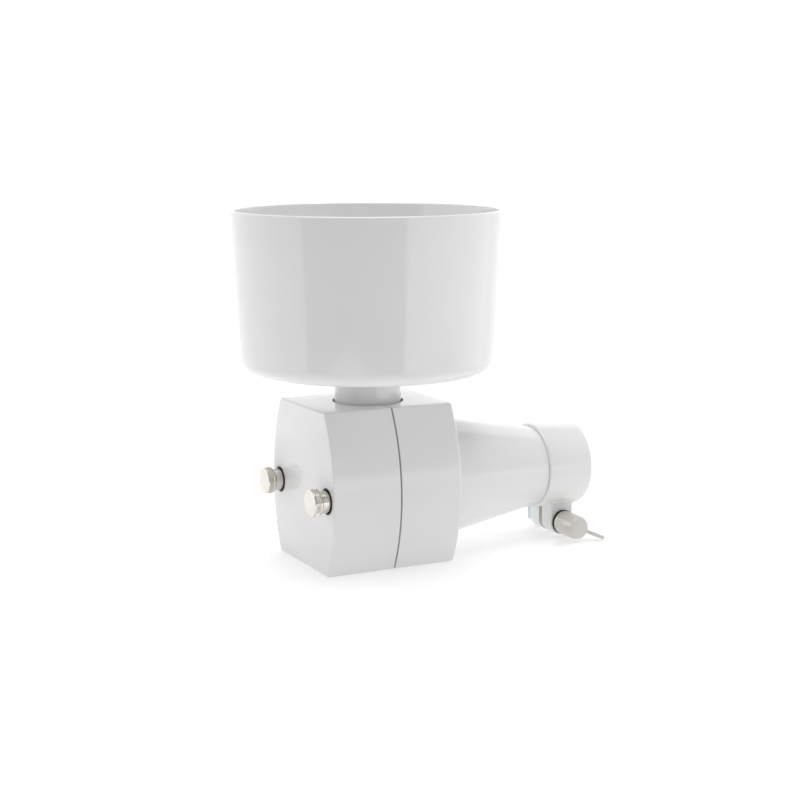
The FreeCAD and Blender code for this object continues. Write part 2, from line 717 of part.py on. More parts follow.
def make_feed_housing():
    """Barrel round the auger, with the inlet cup on top, the stone flange and the bearing seat."""
    body = new_body("feed_housing", S["hopper_axis_x"], 0, S["drive_height"])
    front, rear = -S["barrel_front"], S["barrel_rear"]
    flange_back = front + S["stone_flange_thickness"]
    seal_end = rear + S["seal_width"]
    seat_end = seal_end + S["seat_length"]
    wall_end = seat_end + S["wall_flange_thickness"]
    bore = S["barrel_bore_radius"]
    corners = [(front, bore), (front, S["stone_flange_radius"]), (flange_back, S["stone_flange_radius"])]
    corners += [(flange_back, S["barrel_radius"]), (rear, S["barrel_radius"]), (rear, S["seat_radius"])]
    corners += [(seat_end, S["seat_radius"]), (seat_end, S["wall_flange_radius"])]
    corners += [(wall_end, S["wall_flange_radius"]), (wall_end, S["bearing_radius"])]
    corners += [(seal_end, S["bearing_radius"]), (seal_end, S["seal_seat_radius"])]
    corners += [(rear, S["seal_seat_radius"]), (rear, bore)]
    revolve(body, corners)
    cup, low, high = S["inlet_cup_radius"], S["inlet_cup_bottom"], S["inlet_cup_top"]
    tube = [(0, 10), (S["inlet_radius"], 10), (S["inlet_radius"], low), (cup, low), (cup, high), (0, high)]
    revolve(body, tube, axis="V_Axis")
    seat = high - S["neck_seal_thickness"]
    throat = S["neck_bore_radius"]
    inlet = [(0, 0), (S["inlet_bore_radius"], 0), (S["inlet_bore_radius"], low + 1), (throat, low + 6)]
    cup = S["neck_seal_outer_radius"]
    inlet += [(throat, seat), (cup, seat), (cup, high), (0, high)]
    revolve(body, inlet, axis="V_Axis", cut=True)
    clear = [(front, 0), (front, bore), (rear, bore), (rear, 0)]
    revolve(body, clear, cut=True)
    stone_screws = ring_centres(S["barrel_radius"] + 5.5, STONE_SCREWS, 30)
    drill(body, stone_screws, S["pin_radius"] + 0.6, front - 1, S["stone_flange_thickness"] + 2)
    wall_screws = ring_centres(S["wall_opening_radius"] + 3.5, WALL_SCREWS, 45)
    drill(body, wall_screws, S["pin_radius"] + 0.6, seat_end - 1, S["wall_flange_thickness"] + 2)
    return body


def make_screws(label, centres, seat_x, direction, length):
    """A group of pan head screws along the shaft, as separate solids in one node."""
    screws = []
    shank_radius, head_radius = S["pin_radius"] + 0.5, S["pin_radius"] + 1.7
    head_height = S["housing_wall"] - 0.6
    along = "+X" if direction > 0 else "-X"
    against = "-X" if direction > 0 else "+X"
    for number, (y, z) in enumerate(centres, start=1):
        pieces = []
        for kind, radius, reach, way in (("shank", shank_radius, length, along),
                                         ("head", head_radius, head_height, against)):
            cylinder = doc.addObject("Part::Cylinder", f"{label}_{kind}_{number}")
            bind(cylinder, "Radius", radius)
            bind(cylinder, "Height", reach)
            place(cylinder, seat_x, y, S["drive_height"] + z, way)
            tip = FreeCAD.Rotation(FreeCAD.Vector(0, 1, 0), 90)
            cylinder.Placement.Rotation = cylinder.Placement.Rotation.multiply(tip)
            pieces.append(cylinder)
        screw = doc.addObject("Part::Fuse", f"{label}_{number}")
        screw.Base, screw.Tool = pieces
        screws.append(screw)
    group = doc.addObject("Part::Compound", label)
    group.Label = label
    group.Links = screws
    return group


def make_shaft():
    """Drive shaft: threaded front end, clip groove and three cross holes."""
    body = new_body("drive_shaft", shaft_front_x, 0, S["drive_height"])
    thread, length, radius = S["shaft_front_thread_length"], S["shaft_length"], S["shaft_radius"]
    groove = web_rear_x - shaft_front_x + 0.6
    groove_end = groove + S["clip_width"] + 0.1
    low = S["clip_groove_radius"]
    corners = [(0, 0), (0, S["shaft_front_thread_radius"]), (thread, S["shaft_front_thread_radius"])]
    corners += [(thread, radius), (groove, radius), (groove, low), (groove_end, low), (groove_end, radius)]
    corners += [(length, radius), (length, 0)]
    revolve(body, corners)
    holes = new_sketch(body, "XY_Plane")
    for pin_x in pin_stations():
        add_circle(holes, pin_x - shaft_front_x, 0, S["pin_radius"] + 0.02)
    pocket(body, holes, radius * 2 + 2, middle=True)
    return body


def pin_stations():
    """Where the three cross pins stand along the shaft: stone carrier, auger, coupling."""
    carrier_pin = carrier_face + S["carrier_hub_length"] * 0.5
    auger_pin = S["hopper_axis_x"] + 10
    coupling_pin = coupling_x + S["coupling_bore_depth"] * 0.5
    return [carrier_pin, auger_pin, coupling_pin]


def cross_hole(body, along, depth):
    """The hole for a cross pin, square to the shaft."""
    hole = new_sketch(body, "XY_Plane")
    add_circle(hole, along, 0, S["pin_radius"] + 0.02)
    pocket(body, hole, depth, middle=True)


def cross_pin(label, station, length):
    """A pin that stands upright through the shaft."""
    rod(label, S["pin_radius"], length, station, 0, S["drive_height"] - length * 0.5, "+Z")


def make_rotor():
    """Everything that turns with the shaft, from the lock nut at the front to the coupling."""
    height = S["drive_height"]
    carrier_pin, auger_pin, coupling_pin = pin_stations()
    shaft_bore = S["shaft_radius"] + S["running_clearance"]
    make_shaft()

    start = carrier_face - S["carrier_thickness"] - S["lock_nut_height"] - 0.05
    nut = new_body("stone_lock_nut", start, 0, height)
    flats = new_sketch(nut, "YZ_Plane")
    add_hexagon(flats, S["lock_nut_flats"])
    pad(nut, flats, S["lock_nut_height"])
    drill(nut, [(ZERO, ZERO)], S["shaft_front_thread_radius"] + 0.02, -as_size(1), S["lock_nut_height"] + 2)

    start = carrier_face - S["carrier_thickness"]
    disc, hub = S["carrier_thickness"], S["carrier_thickness"] + S["carrier_hub_length"]
    corners = [(0, shaft_bore), (0, S["carrier_radius"]), (disc, S["carrier_radius"])]
    corners += [(disc, S["carrier_hub_radius"]), (hub, S["carrier_hub_radius"]), (hub, shaft_bore)]
    carrier = turned_piece("stone_carrier", corners, start, 0, height)
    cross_hole(carrier, carrier_pin - start, S["carrier_hub_radius"] * 2 + 2)
    cross_pin("carrier_pin", carrier_pin, S["carrier_hub_radius"] * 2 - 0.4)

    bore = S["carrier_hub_radius"] + 0.1
    thickness = S["rotating_stone_thickness"]
    corners = [(0, bore), (0, S["stone_radius"]), (thickness, S["stone_radius"])]
    corners += [(thickness, S["stone_breaker_radius"]), (thickness - S["stone_breaker_depth"], bore)]
    stone = turned_piece("rotating_stone", corners, carrier_face, 0, height)
    cut_furrows(stone, thickness - S["furrow_depth"], S["furrow_depth"] + 1)

    auger_start = rotating_stone_face - 0.2
    auger = new_body("feed_auger", auger_start, 0, height)
    bore = shaft_bore
    revolve(auger, [(0, bore), (0, S["auger_hub_radius"]), (S["auger_length"], S["auger_hub_radius"]),
                    (S["auger_length"], bore)])
    root = S["auger_hub_radius"] - 0.5
    flight = new_sketch(auger, "XZ_Plane")
    first, last = as_size(1), S["auger_flight"] + 1
    crest = S["auger_radius"]
    add_outline(flight, [(first, root), (last, root), (last, crest), (first, crest)])
    helix = auger.newObject("PartDesign::AdditiveHelix", "auger_flight_helix")
    helix.Profile = flight
    helix.ReferenceAxis = (flight, ["H_Axis"])
    helix.Mode = 0
    bind(helix, "Pitch", S["auger_pitch"])
    bind(helix, "Height", S["auger_length"] - S["auger_flight"] - 3)
    cross_hole(auger, auger_pin - auger_start, S["auger_hub_radius"] * 2 + 0.2)
    cross_pin("auger_pin", auger_pin, S["auger_hub_radius"] * 2 - 0.4)

    turned_ring("shaft_circlip", S["clip_groove_radius"] + 0.05, S["clip_radius"], S["clip_width"],
                web_rear_x + 0.65, 0, height)

    coupling = new_body("drive_coupling", coupling_x, 0, height)
    length = S["coupling_length"]
    outside = S["coupling_radius"]
    corners = [(0, shaft_bore), (0, outside), (length, outside), (length, shaft_bore)]
    revolve(coupling, corners)
    socket = new_sketch(coupling, "YZ_Plane", S["coupling_bore_depth"])
    add_hexagon(socket, S["coupling_socket_flats"])
    pocket(coupling, socket, length, reverse=True)
    cross_hole(coupling, coupling_pin - coupling_x, S["coupling_radius"] * 2 + 2)
    cross_pin("coupling_pin", coupling_pin, S["coupling_radius"] * 2 - 2)


def cut_furrows(stone, start, depth):
    """Evenly spaced straight furrows across a stone's grinding face."""
    sketch = new_sketch(stone, "YZ_Plane", start)
    half = S["furrow_width"] * 0.5
    inner, outer = S["stone_eye_radius"] + 3, S["stone_radius"] - 3
    add_outline(sketch, [(inner, -half), (outer, -half), (outer, half), (inner, half)])
    furrow = pocket(stone, sketch, depth, reverse=True)
    pattern = stone.newObject("PartDesign::PolarPattern", f"{stone.Label}_furrows")
    pattern.Originals = [furrow]
    pattern.Axis = (sketch, ["N_Axis"])
    pattern.Angle = 360
    pattern.Occurrences = FURROWS
    stone.Tip = pattern


def make_fixed_grinder():
    """The stone that stands still, on its steel plate, with the screws that hold the plate."""
    height = S["drive_height"]
    eye = S["stone_eye_radius"]
    stone = turned_ring("fixed_stone", eye, S["stone_radius"], S["fixed_stone_thickness"],
                        fixed_stone_face, 0, height)
    cut_furrows(stone, -as_size(1), S["furrow_depth"] + 1)
    plate = turned_ring("fixed_stone_plate", eye, S["stone_flange_radius"], S["stone_plate_thickness"],
                        fixed_stone_back, 0, height)
    centres = ring_centres(S["barrel_radius"] + 5.5, STONE_SCREWS, 30)
    drill(plate, centres, S["pin_radius"] + 0.6, as_size(0.5), S["stone_plate_thickness"])
    flange_back = stone_joint + S["stone_flange_thickness"]
    make_screws("stone_plate_screws", centres, flange_back, -1, S["stone_flange_thickness"] + 1.8)


def make_bearings():
    """Bearing, clip, seal and bush that carry the shaft, and the ring under the hopper neck."""
    height = S["drive_height"]
    shaft_bore = S["shaft_radius"] + S["running_clearance"]
    seal_x = S["hopper_axis_x"] + S["barrel_rear"]
    bearing_x = seal_x + S["seal_width"]
    turned_ring("shaft_seal", shaft_bore, S["seal_seat_radius"] - 0.05, S["seal_width"] - 0.1,
                seal_x + 0.05, 0, height)
    outer, width = S["bearing_radius"] - 0.02, S["bearing_width"]
    inner_ring, outer_ring, recess = S["shaft_radius"] + 2.5, S["bearing_radius"] - 2.5, as_size(0.6)
    corners = [(0, shaft_bore), (0, inner_ring), (recess, inner_ring)]
    corners += [(recess, outer_ring), (0, outer_ring)]
    corners += [(0, outer), (width, outer), (width, outer_ring), (width - recess, outer_ring)]
    corners += [(width - recess, inner_ring), (width, inner_ring), (width, shaft_bore)]
    turned_piece("main_bearing", corners, bearing_x, 0, height)
    turned_ring("bearing_circlip", S["bearing_radius"] - 3.5, outer, S["clip_width"],
                bearing_x + S["bearing_width"] + 0.1, 0, height)
    bush = S["web_bore_radius"] - 0.02
    flange = as_size(1.5)
    corners = [(0, shaft_bore), (0, bush + 2), (flange, bush + 2), (flange, bush)]
    corners += [(S["web_thickness"] + flange, bush), (S["web_thickness"] + flange, shaft_bore)]
    turned_piece("rear_bush", corners, rear_face + S["web_offset"] - flange, 0, height)
    cup_top = S["drive_height"] + S["inlet_cup_top"]
    turned_ring("neck_seal", S["neck_bore_radius"] + 0.1, S["neck_seal_outer_radius"] - 0.1,
                S["neck_seal_thickness"], S["hopper_axis_x"], 0, cup_top - S["neck_seal_thickness"], "+Z")
    centres = ring_centres(S["wall_opening_radius"] + 3.5, WALL_SCREWS, 45)
    seat_x = bearing_x + S["seat_length"]
    screw_reach = S["wall_flange_thickness"] + S["housing_wall"] + 1.5
    make_screws("feed_housing_screws", centres, seat_x, 1, screw_reach)


def make_clamp_fasteners():
    """Bolt, washer and wing nut that close the collar."""
    make_clamp_bolt()
    turned_ring("clamp_washer", S["bolt_radius"] + 0.3, S["washer_radius"], S["washer_thickness"],
                clamp_screw_x, washer_y, S["clamp_screw_height"], "-Y")
    make_wing_nut()
    start = -(S["ear_half_width"] + S["washer_thickness"] + 0.5)
    turned_ring("wing_nut_insert", S["bolt_radius"] + S["thread_clearance"], S["wing_insert_radius"] - 0.02,
                S["wing_insert_length"] - 1.0, clamp_screw_x, start, S["clamp_screw_height"], "-Y")


def sub_parts():
    """Every body or group that is a piece of the mill."""
    found = [thing for thing in doc.Objects if thing.TypeId == "PartDesign::Body"]
    found += [thing for thing in doc.Objects if thing.TypeId == "Part::Compound"]
    return found


def check_and_write():
    """Stop on any failed object or bad shape, then write one STEP file for each piece."""
    doc.recompute()
    for thing in doc.Objects:
        if "Invalid" in thing.State or "Error" in thing.State:
            raise RuntimeError(f"{thing.Label} failed to build")
    for piece in sub_parts():
        if piece.Shape.isNull() or not piece.Shape.isValid():
            raise RuntimeError(f"{piece.Label} has no valid shape")
    os.makedirs("parts", exist_ok=True)
    for piece in sub_parts():
        piece.Shape.exportStep(os.path.join("parts", f"{piece.Label}.step"))
    print(f"{len(sub_parts())} pieces written")


make_front_housing()
make_rear_housing()
make_clamp_collar()
make_clamp_fasteners()
make_stud_set("left", S["stud_spacing"])
make_stud_set("right", -S["stud_spacing"])
make_hopper_drum()
make_hopper_funnel()
make_feed_housing()
make_bearings()
make_fixed_grinder()
make_rotor()
check_and_write()
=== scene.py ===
import math

import bmesh
import bpy
from mathutils import Matrix, Vector


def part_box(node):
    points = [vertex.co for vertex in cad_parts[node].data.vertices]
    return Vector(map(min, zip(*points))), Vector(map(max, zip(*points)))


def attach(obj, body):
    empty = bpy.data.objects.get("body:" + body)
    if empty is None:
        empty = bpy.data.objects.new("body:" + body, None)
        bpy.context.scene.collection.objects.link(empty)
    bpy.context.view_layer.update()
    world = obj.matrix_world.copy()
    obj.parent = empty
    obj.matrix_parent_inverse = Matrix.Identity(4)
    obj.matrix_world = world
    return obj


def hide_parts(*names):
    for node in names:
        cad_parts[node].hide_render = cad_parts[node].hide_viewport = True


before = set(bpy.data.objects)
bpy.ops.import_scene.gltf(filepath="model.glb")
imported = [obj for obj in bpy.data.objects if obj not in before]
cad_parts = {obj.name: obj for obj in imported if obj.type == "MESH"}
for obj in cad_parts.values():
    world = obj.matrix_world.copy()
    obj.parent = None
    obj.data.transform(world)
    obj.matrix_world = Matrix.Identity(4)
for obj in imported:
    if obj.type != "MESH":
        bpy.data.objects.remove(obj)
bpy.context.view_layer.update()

# Stone grain mill attachment: glossy white mouldings, nickel-plated thumb nuts, zinc bolt, grey wing nut.
# Lengths below are in millimetres; the mesh builders turn them to metres.
MM = 0.001

# ---------------------------------------------------------------- sizes
DRIVE_HEIGHT = 47.0
FRONT_FACE_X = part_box("front_housing")[0].x / MM
DRUM_LOW, DRUM_HIGH = (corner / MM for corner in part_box("hopper_drum"))
HOPPER_X = (DRUM_LOW.x + DRUM_HIGH.x) / 2
REAR_FACE_X = HOPPER_X + 42.0
CONE_LENGTH = 76.0
CONE_END_X = REAR_FACE_X + CONE_LENGTH
CONE_START_RADIUS, CONE_END_RADIUS = 39.4, 26.15
SPIGOT_RADIUS, SPIGOT_LENGTH = 25.2, 30.0
HUB_RADIUS, HUB_LENGTH, HUB_STOP_RADIUS = 22.0, 21.0, 20.5
WEB_START, WEB_THICKNESS, WEB_BORE_RADIUS = 63.0, 10.0, 9.0
TONGUE_LENGTH, TONGUE_WALL, TONGUE_CLEARANCE = 3.0, 1.8, 0.3
PARTING_GAP = 1.1
BODY_HEIGHT = 100.0
BODY_HALF_WIDTH = 47.0
SIDE_RADIUS = 109.3
WALL = 3.0
FRONT_WALL = 3.5
NECK_HOLE_RADIUS = 22.2
STUD_Y = 36.0
STUD_RADIUS, STUD_BOSS_RADIUS, STUD_INSERT_RADIUS = 3.0, 9.0, 5.0
PLATE_HOLE_RADIUS = 8.2
OUTLET_OFFSET, OUTLET_LENGTH, OUTLET_HALF_WIDTH = 7.0, 17.0, 18.0
DRUM_FOOT_RADIUS, DRUM_RIM_RADIUS, DRUM_WALL, DRUM_ROUND = 78.8, 84.0, 2.5, 9.0
NECK_RADIUS, NECK_BORE_RADIUS = 20.75, 17.5
FUNNEL_FLANGE_RADIUS, FUNNEL_RISE, FUNNEL_RIM_RADIUS, FUNNEL_WALL = 25.0, 34.0, 78.0, 2.5
COLLAR_RADIUS, COLLAR_BORE_RADIUS, COLLAR_LENGTH = 27.9, 25.25, 32.0
COLLAR_LIP_RADIUS, COLLAR_LIP, CLAMP_SLIT = 23.0, 1.9, 4.0
EAR_MIDDLE_X, EAR_ROUND = CONE_END_X + 17.9, 8.4
CLAMP_SCREW_X = CONE_END_X + 18.3
CLAMP_SCREW_Z = 9.4
EAR_HALF_WIDTH = 13.2
BOLT_RADIUS, BOLT_LENGTH, BOLT_HEAD_HEIGHT, BOLT_HEAD_FLATS = 4.0, 45.0, 7.5, 13.0
WASHER_THICKNESS, WASHER_RADIUS, CLAMP_HOLE_RADIUS = 2.0, 8.0, 4.3
WING_HUB_RADIUS, WING_HUB_LENGTH, WING_THICKNESS, WING_TILT = 7.75, 20.6, 2.6, 24.5
NUT_COLLAR_RADIUS, NUT_GROOVE_RADIUS, NUT_HEAD_RADIUS, KNURL_RADIUS = 6.9, 6.0, 8.5, 8.2
SEAL_INNER_RADIUS, SEAL_THICKNESS = 7.2, 3.2

# where each turned piece points: its axis, then the two directions square to it
ALONG = {
    "+X": (Vector((1, 0, 0)), Vector((0, 1, 0)), Vector((0, 0, 1))),
    "-X": (Vector((-1, 0, 0)), Vector((0, -1, 0)), Vector((0, 0, 1))),
    "+Z": (Vector((0, 0, 1)), Vector((1, 0, 0)), Vector((0, 1, 0))),
    "-Y": (Vector((0, -1, 0)), Vector((1, 0, 0)), Vector((0, 0, 1))),
}


# ---------------------------------------------------------------- mesh builders
def link(name, mesh):
    """A new object in the scene at the origin."""
    piece = bpy.data.objects.new(name, mesh)
    bpy.context.scene.collection.objects.link(piece)
    return piece


def finish_mesh(bm, name, sharp_degrees=32.0):
    """Merge doubles, point the faces outwards, shade smooth with sharp corners kept."""
    bmesh.ops.remove_doubles(bm, verts=bm.verts, dist=1e-7)
    bmesh.ops.recalc_face_normals(bm, faces=bm.faces)
    mesh = bpy.data.meshes.new(name)
    bm.to_mesh(mesh)
    bm.free()
    mesh.shade_smooth()
    mesh.set_sharp_from_angle(angle=math.radians(sharp_degrees))
    return mesh


def rounded(corners, radii, steps=6):
    """An outline whose corners are turned to arcs; a radius of 0 keeps the corner."""
    outline = []
    count = len(corners)
    for index, radius in enumerate(radii):
        corner = Vector(corners[index])
        if radius <= 0:
            outline.append(tuple(corner))
            continue
        back = (Vector(corners[index - 1]) - corner).normalized()
        ahead = (Vector(corners[(index + 1) % count]) - corner).normalized()
        half = back.angle(ahead) / 2
        reach = radius / math.tan(half)
        centre = corner + (back + ahead).normalized() * (radius / math.sin(half))
        start = corner + back * reach - centre
        end = corner + ahead * reach - centre
        sweep = start.angle_signed(end)
        for step in range(steps + 1):
            turn = -sweep * step / steps
            x = start.x * math.cos(turn) - start.y * math.sin(turn)
            y = start.x * math.sin(turn) + start.y * math.cos(turn)
            outline.append((centre.x + x, centre.y + y))
    return outline


def lathe(name, outline, origin, along, steps=160):
    """Turn a closed outline of (along, radius) points about an axis through origin."""
    axis, across, up = ALONG[along]
    bm = bmesh.new()
    rings = []
    for reach, radius in outline:
        centre = Vector(origin) + axis * reach
        if radius < 1e-6:
            rings.append([bm.verts.new(centre * MM)])
            continue
        ring = []
        for step in range(steps):
            turn = 2 * math.pi * step / steps
            point = centre + (across * math.cos(turn) + up * math.sin(turn)) * radius
            ring.append(bm.verts.new(point * MM))
        rings.append(ring)
    for index, ring in enumerate(rings):
        following = rings[(index + 1) % len(rings)]
        join_rings(bm, ring, following)
    return link(name, finish_mesh(bm, name))


def join_rings(bm, ring, following):
    """Faces between two rings of points, either of which may be a single pole."""
    count = max(len(ring), len(following))
    if count == 1:
        return
    for step in range(count):
        after = (step + 1) % count
        corners = [ring[step % len(ring)], ring[after % len(ring)]]
        corners += [following[after % len(following)], following[step % len(following)]]
        unique = list(dict.fromkeys(corners))
        if len(unique) > 2:
            bm.faces.new(unique)


def loft(name, rings, sharp_degrees=32.0, tube=False):
    """A solid through rings of points: flat at both ends, or a tube whose last ring meets the first."""
    bm = bmesh.new()
    made = [[bm.verts.new(Vector(point) * MM) for point in ring] for ring in rings]
    for ring, following in zip(made, made[1:]):
        join_rings(bm, ring, following)
    if tube:
        join_rings(bm, made[-1], made[0])
    else:
        bm.faces.new(made[0])
        bm.faces.new(made[-1])
    return link(name, finish_mesh(bm, name, sharp_degrees))


def block(name, low, high):
    """A plain box used as a cutter."""
    rings = []
    for z in (low[2], high[2]):
        rings.append([(low[0], low[1], z), (high[0], low[1], z),
                      (high[0], high[1], z), (low[0], high[1], z)])
    return loft(name, rings)


def plain(piece):
    """Put a piece's modifiers into its mesh."""
    evaluated = piece.evaluated_get(bpy.context.evaluated_depsgraph_get())
    mesh = bpy.data.meshes.new_from_object(evaluated)
    piece.modifiers.clear()
    piece.data = mesh
    return piece


def combine(piece, others, operation):
    """Join to or cut from a piece the solids in others, which are then removed."""
    for other in others:
        modifier = piece.modifiers.new(operation.lower(), "BOOLEAN")
        modifier.operation = operation
        modifier.solver = "EXACT"
        modifier.object = other
        bpy.context.view_layer.update()
        plain(piece)
        bpy.data.objects.remove(other)
    piece.data.shade_smooth()
    piece.data.set_sharp_from_angle(angle=math.radians(32.0))
    return piece


def round_bar(name, radius, length, origin, along, steps=96):
    """A plain cylinder, as a boss or a cutter."""
    return lathe(name, [(0, 0), (0, radius), (length, radius), (length, 0)], origin, along, steps)


# ---------------------------------------------------------------- materials
def linear(code):
    """A colour from its sRGB hex code, as linear red, green, blue and full alpha."""
    shares = [int(code[place:place + 2], 16) / 255 for place in (0, 2, 4)]
    return tuple(s / 12.92 if s <= 0.04045 else ((s + 0.055) / 1.055) ** 2.4 for s in shares) + (1.0,)


def add(tree, kind, settings=None, links=None):
    """Add one node, set its values and properties, and link its inputs."""
    node = tree.nodes.new(kind)
    for key, value in (settings or {}).items():
        if isinstance(key, int) or key in node.inputs:
            node.inputs[key].default_value = value
        else:
            setattr(node, key, value)
    for key, source in (links or {}).items():
        tree.links.new(source, node.inputs[key])
    return node


def new_material(name):
    """An empty node material with its tree and the output node."""
    material = bpy.data.materials.new(name)
    material.use_nodes = True
    tree = material.node_tree
    tree.nodes.clear()
    output = tree.nodes.new("ShaderNodeOutputMaterial")
    return material, tree, output


def moulded_plastic(name, light, dark, rough, ior=1.53, skin_mm=2.5, skin_height=0.004, through=0.0):
    """Injection-moulded plastic: faint flow shading in the colour and a very slight orange-peel skin."""
    material, tree, output = new_material(name)
    place = add(tree, "ShaderNodeTexCoord").outputs["Object"]
    flow = add(tree, "ShaderNodeTexNoise", {"Scale": 1 / (45 * MM), "Detail": 2.0}, {"Vector": place})
    tint = add(tree, "ShaderNodeMix", {"data_type": "RGBA", 6: linear(light), 7: linear(dark)},
               {"Factor": flow.outputs["Fac"]})
    wear = add(tree, "ShaderNodeTexNoise", {"Scale": 1 / (9 * MM), "Detail": 4.0}, {"Vector": place})
    spread = add(tree, "ShaderNodeMapRange", {"To Min": rough * 0.85, "To Max": rough * 1.2},
                 {"Value": wear.outputs["Fac"]})
    skin = add(tree, "ShaderNodeTexNoise", {"Scale": 1 / (skin_mm * MM), "Detail": 1.0}, {"Vector": place})
    bump = add(tree, "ShaderNodeBump", {"Strength": 0.25, "Distance": skin_height * MM},
               {"Height": skin.outputs["Fac"]})
    settings = {"IOR": ior, "Subsurface Weight": through,
                "Subsurface Radius": (1.0, 0.95, 0.9), "Subsurface Scale": 4 * MM}
    shader = add(tree, "ShaderNodeBsdfPrincipled", settings,
                 {"Base Color": tint.outputs[2], "Roughness": spread.outputs["Result"],
                  "Normal": bump.outputs["Normal"]})
    tree.links.new(shader.outputs["BSDF"], output.inputs["Surface"])
    return material


def turned_metal(name, light, dark, rough, line_mm=0.35, axis="X"):
    """Turned or plated metal: fine tool lines round the axis and a slight change of tone."""
    material, tree, output = new_material(name)
    place = add(tree, "ShaderNodeTexCoord").outputs["Object"]
    # tool lines stand square to the turning axis; drawn coarser than the real 0.1 mm feed so that they show
    stretch = {"X": (1, 0.02, 0.02), "Y": (0.02, 1, 0.02), "Z": (0.02, 0.02, 1)}[axis]
    lines = add(tree, "ShaderNodeMapping", {"Scale": stretch}, {"Vector": place})
    feed = add(tree, "ShaderNodeTexNoise", {"Scale": 1 / (line_mm * MM), "Detail": 2.0},
               {"Vector": lines.outputs["Vector"]})
    cloud = add(tree, "ShaderNodeTexNoise", {"Scale": 1 / (6 * MM), "Detail": 3.0}, {"Vector": place})
    tint = add(tree, "ShaderNodeMix", {"data_type": "RGBA", 6: linear(light), 7: linear(dark)},
               {"Factor": cloud.outputs["Fac"]})
    spread = add(tree, "ShaderNodeMapRange", {"To Min": rough * 0.7, "To Max": rough * 1.3},
                 {"Value": feed.outputs["Fac"]})
    bump = add(tree, "ShaderNodeBump", {"Strength": 0.3, "Distance": 0.01 * MM},
               {"Height": feed.outputs["Fac"]})
    shader = add(tree, "ShaderNodeBsdfPrincipled", {"Metallic": 1.0},
                 {"Base Color": tint.outputs[2], "Roughness": spread.outputs["Result"],
                  "Normal": bump.outputs["Normal"]})
    tree.links.new(shader.outputs["BSDF"], output.inputs["Surface"])
    return material


def dressed_stone(name):
    """Bonded corundum: dense angular grains of a few tones, rough to the touch."""
    material, tree, output = new_material(name)
    place = add(tree, "ShaderNodeTexCoord").outputs["Object"]
    grit = add(tree, "ShaderNodeTexVoronoi", {"Scale": 1 / (0.9 * MM)}, {"Vector": place})
    ramp = add(tree, "ShaderNodeValToRGB", None, {"Fac": grit.outputs["Color"]})
    ramp.color_ramp.elements[0].color = linear("8E857A")
    ramp.color_ramp.elements[1].color = linear("CFC7BA")
    bump = add(tree, "ShaderNodeBump", {"Strength": 0.6, "Distance": 0.15 * MM},
               {"Height": grit.outputs["Distance"]})
    shader = add(tree, "ShaderNodeBsdfPrincipled", {"Roughness": 0.85},
                 {"Base Color": ramp.outputs["Color"], "Normal": bump.outputs["Normal"]})
    tree.links.new(shader.outputs["BSDF"], output.inputs["Surface"])
    return material


# ABS with a polished mould finish: clear mirror of the softboxes, near-white body
housing_white = moulded_plastic("housing_abs_polished", "E8E8E8", "E5E5E5", 0.10, 1.53)
hopper_white = moulded_plastic("hopper_abs_polished", "E8E8E8", "E5E5E5", 0.08, 1.53, through=0.15)
collar_white = moulded_plastic("collar_abs_polished", "EAEAEA", "E7E7E7", 0.12, 1.53)
# glass-filled nylon wing nut: warm light grey, satin
grip_grey = moulded_plastic("wing_nut_nylon_satin", "D8D6D0", "CDCBC5", 0.34, 1.53, 0.8, 0.02)
# natural nylon of the auger and the coupling
natural_nylon = moulded_plastic("natural_nylon", "E4E0D4", "DAD5C6", 0.42, 1.53, 0.8, 0.02)
# black nitrile rings, and the washer under the wing nut, whose black is also painted shade for the gap between
# the near ear and the hub
black_rubber_and_gap_shade = moulded_plastic("black_nitrile_and_gap_shade", "0B0B0B", "141414", 0.45, 1.52, 0.5, 0.03)
# nickel plate over turned brass: warm, satin
nickel = turned_metal("nickel_plate_satin", "E4E1DC", "D2CEC7", 0.17)
# bright zinc with a bluish passivation
zinc = turned_metal("zinc_plate_blue", "C3CCD2", "A9B6BF", 0.30, 0.35, "Y")
steel = turned_metal("turned_steel", "B9B9B8", "9E9E9D", 0.30)
brass = turned_metal("turned_brass", "C9A45C", "B48F4A", 0.28)
cast_aluminium = turned_metal("die_cast_aluminium", "B4B6B8", "A2A4A6", 0.48, 1.2)
stone = dressed_stone("bonded_corundum")

CAD_FINISHES = {
    steel: ["left_stud", "right_stud", "left_nut_washer", "right_nut_washer", "drive_shaft", "carrier_pin",
            "auger_pin", "coupling_pin", "shaft_circlip", "bearing_circlip", "main_bearing", "stone_lock_nut",
            "fixed_stone_plate", "stone_carrier"],
    brass: ["left_stud_insert", "right_stud_insert", "wing_nut_insert", "rear_bush"],
    zinc: ["feed_housing_screws", "stone_plate_screws"],
    black_rubber_and_gap_shade: ["neck_seal", "shaft_seal"],
    stone: ["fixed_stone", "rotating_stone"],
    cast_aluminium: ["feed_housing"],
    natural_nylon: ["feed_auger", "drive_coupling"],
}


def finish_cad_nodes():
    """Give the CAD pieces that stay their real finishes."""
    for material, names in CAD_FINISHES.items():
        for name in names:
            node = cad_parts[name]
            node.data.materials.clear()
            node.data.materials.append(material)


def hand_over(piece, material, body, node):
    """Give a finished piece its material, its body and the CAD node it stands for."""
    piece.data.materials.clear()
    piece.data.materials.append(material)
    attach(piece, body)
    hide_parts(node)
    return piece


